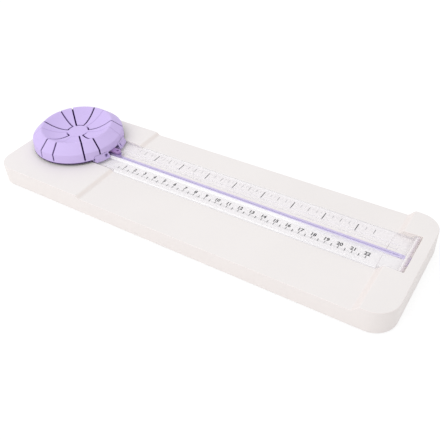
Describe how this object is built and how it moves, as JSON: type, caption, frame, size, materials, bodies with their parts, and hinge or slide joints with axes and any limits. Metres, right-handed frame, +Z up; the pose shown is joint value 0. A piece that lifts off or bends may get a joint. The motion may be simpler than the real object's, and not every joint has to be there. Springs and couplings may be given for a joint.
{
  "type": "paper trimmer",
  "caption": "Flat desk paper trimmer with a clear hinged ruler rail and a round sprung palm cutter that slides along it and cuts on an inlaid strip when pressed.",
  "frame": {"origin": "on the table under the middle of the base", "axes": "+X along the cut towards the hinged end, +Y to the far side, +Z up"},
  "size_m": [0.347, 0.106, 0.0336],
  "materials": {
    "ivory_plastic": "fine satin moulding, warm ivory white",
    "lilac_plastic": "satin pastel lilac",
    "purple_plastic": "satin purple",
    "purple_strip": "soft matt purple",
    "clear_plastic": "polished clear moulding with printed scales",
    "foot_rubber": "matt soft rubber",
    "screw_steel": "zinc plated",
    "pin_steel": "ground",
    "spring_steel": "drawn wire",
    "blade_steel": "ground edge"
  },
  "bodies": {
    "base": {"base_shell": "ivory_plastic", "cutting_strip": "purple_strip", "hinge_pin": "ivory_plastic", "hinge_keeper": "ivory_plastic", "keeper_screws": "screw_steel", "foot_front_left": "foot_rubber", "foot_front_right": "foot_rubber", "foot_rear_left": "foot_rubber", "foot_rear_right": "foot_rubber"},
    "ruler_rail": {"rail": "clear_plastic", "end_stop": "clear_plastic", "end_stop_screws": "screw_steel"},
    "cutter_carriage": {"carriage": "lilac_plastic", "slide_runner": "purple_plastic", "runner_screws": "screw_steel", "return_spring_1": "spring_steel", "return_spring_2": "spring_steel", "return_spring_3": "spring_steel", "return_spring_4": "spring_steel"},
    "cutter_cap": {"palm_cap": "lilac_plastic", "cap_screws": "screw_steel", "cap_washers": "screw_steel", "blade_holder": "purple_plastic", "holder_screw": "screw_steel", "blade": "blade_steel", "blade_pin": "pin_steel"}
  },
  "joints": [
    {"name": "rail_lift", "type": "hinge", "parent": "base", "child": "ruler_rail", "pos_m": [0.1621, 0.0086, 0.0169], "axis": [0, 1, 0], "range_deg": [0, 30]},
    {"name": "cutter_slide", "type": "slide", "parent": "ruler_rail", "child": "cutter_carriage", "axis": [1, 0, 0], "range_m": [0, 0.238]},
    {"name": "cap_press", "type": "slide", "parent": "cutter_carriage", "child": "cutter_cap", "axis": [0, 0, -1], "range_m": [0, 0.0015], "stiffness_N_per_m": 1500, "springref_m": -0.002, "deforming": ["return_spring_1", "return_spring_2", "return_spring_3", "return_spring_4"]}
  ]
}
